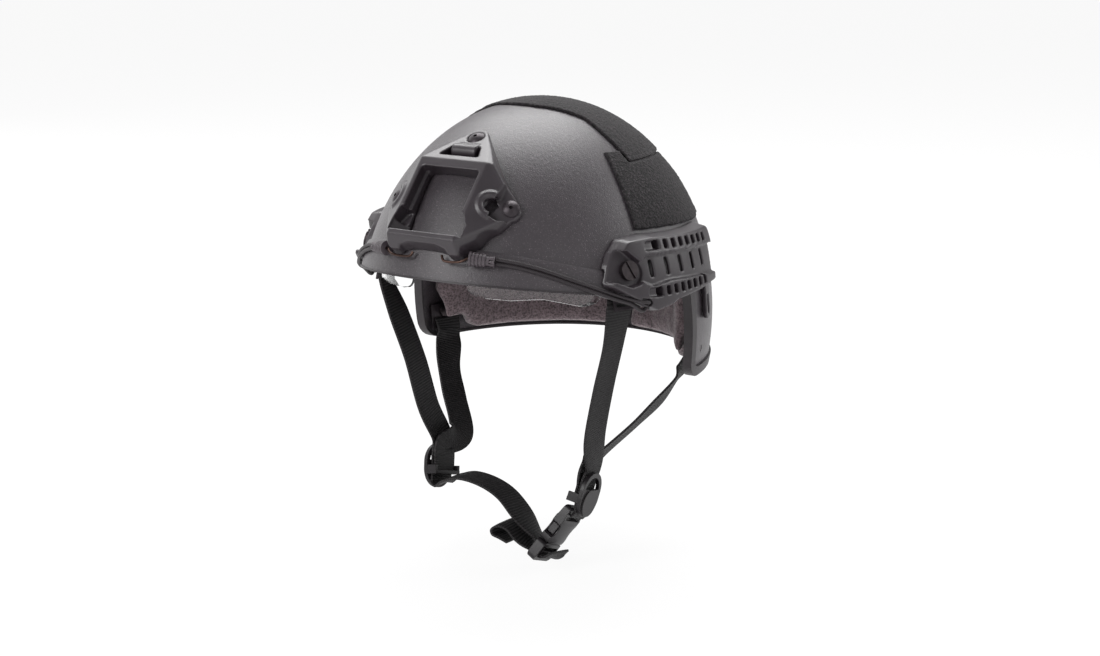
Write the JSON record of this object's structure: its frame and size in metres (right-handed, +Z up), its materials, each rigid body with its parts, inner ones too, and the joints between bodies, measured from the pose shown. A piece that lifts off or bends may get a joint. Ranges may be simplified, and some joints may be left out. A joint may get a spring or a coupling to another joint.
{
  "type": "combat helmet",
  "caption": "High-cut combat helmet with a three-hole front shroud, side accessory rails, bungees, hook-and-loop patches, a swing-down clear visor and a buckled chin harness.",
  "frame": {"origin": "centre of the wearer's head at brow height, midway between the ears, which is also the head mount", "axes": "+Z up towards the crown, -Y the front (shroud and visor), +X the wearer's left"},
  "size_m": [0.238, 0.2627, 0.3013],
  "materials": {
    "shell_paint": "textured dark charcoal paint, semi-matt, fine grain",
    "edge_rubber": "matt black edge moulding",
    "loop_fabric": "black loop pile",
    "moulded_plastic": "dark warm grey glass-filled nylon, satin",
    "black_screws": "blackened steel",
    "zinc_nuts": "zinc plated",
    "aged_screws": "dull plated steel",
    "bungee_cord": "braided cover",
    "sleeve_rubber": "ribbed satin rubber",
    "hook_wire": "plated spring wire",
    "pad_foam": "grey-brown open-cell foam",
    "anchor_steel": "pressed steel",
    "webbing": "black ribbed webbing",
    "clear_lens": "clear polycarbonate",
    "buckle_plastic": "black acetal, satin"
  },
  "bodies": {
    "helmet": {"shell": "shell_paint", "brim_trim": "edge_rubber", "edge_trim": "edge_rubber", "crown_loop_patch": "loop_fabric", "loop_patch_left": "loop_fabric", "loop_patch_right": "loop_fabric", "shroud": "moulded_plastic", "shroud_screws": "black_screws", "shroud_nuts": "zinc_nuts", "rail_left": "moulded_plastic", "rail_right": "moulded_plastic", "rail_front_screws": "aged_screws", "rail_rear_screws": "aged_screws", "rail_nuts": "zinc_nuts", "bungee_left": "bungee_cord", "bungee_right": "bungee_cord", "bungee_sleeve_left": "sleeve_rubber", "bungee_sleeve_right": "sleeve_rubber", "bungee_hook_left": "hook_wire", "bungee_hook_right": "hook_wire", "crown_pad": "pad_foam", "front_pad": "pad_foam", "side_pad_left": "pad_foam", "side_pad_right": "pad_foam", "nape_pad_left": "pad_foam", "nape_pad_right": "pad_foam", "pad_dots": "loop_fabric", "strap_anchors": "anchor_steel", "anchor_screws": "aged_screws", "front_strap_left": "webbing", "front_strap_right": "webbing", "rear_strap_left": "webbing", "rear_strap_right": "webbing", "visor_pins": "aged_screws", "buckle_socket": "buckle_plastic"},
    "visor": {"visor_lens": "clear_lens", "visor_arm_left": "moulded_plastic", "visor_arm_right": "moulded_plastic", "visor_rivets": "aged_screws"},
    "slider_l": {"slider_left": "buckle_plastic"},
    "slider_r": {"slider_right": "buckle_plastic"},
    "plug": {"buckle_plug": "buckle_plastic", "chin_strap_tail": "webbing", "chin_strap": "webbing"}
  },
  "joints": [
    {"name": "visor_hinge", "type": "hinge", "parent": "helmet", "child": "visor", "pos_m": [0, -0.025, 0.012], "axis": [1, 0, 0], "range_deg": [0, 40]},
    {"name": "slider_left_slide", "type": "slide", "parent": "helmet", "child": "slider_l", "axis": [0.1523, 0.2665, 0.9517], "range_m": [0, 0.006]},
    {"name": "slider_right_slide", "type": "slide", "parent": "helmet", "child": "slider_r", "axis": [-0.1523, 0.2665, 0.9517], "range_m": [0, 0.006]},
    {"name": "buckle_release", "type": "slide", "parent": "helmet", "child": "plug", "axis": [-0.4877, -0.3623, -0.7943], "range_m": [0, 0.022], "deforming": ["chin_strap"]}
  ]
}
